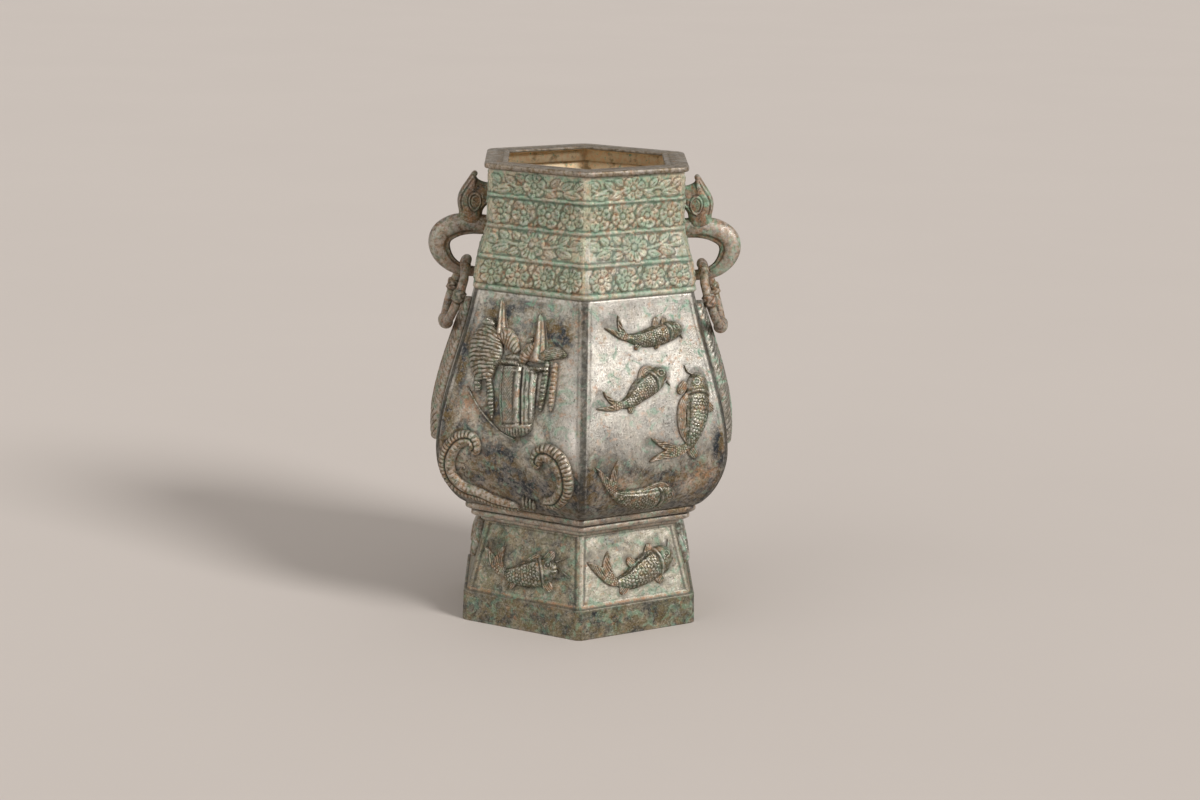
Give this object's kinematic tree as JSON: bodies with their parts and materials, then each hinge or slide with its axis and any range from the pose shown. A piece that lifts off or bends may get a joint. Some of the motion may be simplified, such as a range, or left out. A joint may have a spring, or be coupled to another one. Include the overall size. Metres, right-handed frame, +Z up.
{
  "type": "flower vase",
  "caption": "Hexagonal cast bronze vase on a flared foot, with fish and basket reliefs, beast head handles and loose rings",
  "frame": {"origin": "centre of the plinth's underside, on the table", "axes": "+Z up along the vase's axis; a corner of the hexagon looks to -Y; the handles are on +X and -X"},
  "size_m": [0.1894, 0.2, 0.28],
  "materials": {
    "rim": "smooth warm grey-brown bronze",
    "neck": "bronze with green-grey patina and verdigris",
    "belly": "polished bronze with mottled dark patina",
    "foot": "bronze with olive patina",
    "relief": "chased bronze relief with dark recesses",
    "handle": "dark brown bronze, bright where worn",
    "inside": "raw ochre casting skin"
  },
  "bodies": {
    "vase": {"foot": "foot", "floor_plate": "inside", "belly": "belly", "neck": "neck", "mouth_rim": "rim", "carp_ascending_front": "relief", "carp_turning_front": "relief", "carp_leaping_front": "relief", "carp_diving_front": "relief", "creel_front": "relief", "drum_front": "relief", "serpent_left_front": "relief", "serpent_right_front": "relief", "foot_carp_front": "relief", "foot_catfish_front": "relief", "side_plume_right": "relief", "foot_leaf_right": "relief", "handle_right": "handle", "rivet_lower_right": "inside", "rivet_upper_right": "inside", "carp_ascending_back": "relief", "carp_turning_back": "relief", "carp_leaping_back": "relief", "carp_diving_back": "relief", "creel_back": "relief", "drum_back": "relief", "serpent_left_back": "relief", "serpent_right_back": "relief", "foot_carp_back": "relief", "foot_catfish_back": "relief", "side_plume_left": "relief", "foot_leaf_left": "relief", "handle_left": "handle", "rivet_lower_left": "inside", "rivet_upper_left": "inside"},
    "right_ring": {"ring_right": "handle"},
    "left_ring": {"ring_left": "handle"}
  },
  "joints": [
    {"name": "ring_right_swing", "type": "hinge", "parent": "vase", "child": "right_ring", "pos_m": [0.07165, 0, 0.2162], "axis": [0, -1, 0], "range_deg": [0, 140]},
    {"name": "ring_left_swing", "type": "hinge", "parent": "vase", "child": "left_ring", "pos_m": [-0.07165, 0, 0.2162], "axis": [0, 1, 0], "range_deg": [0, 140]}
  ]
}
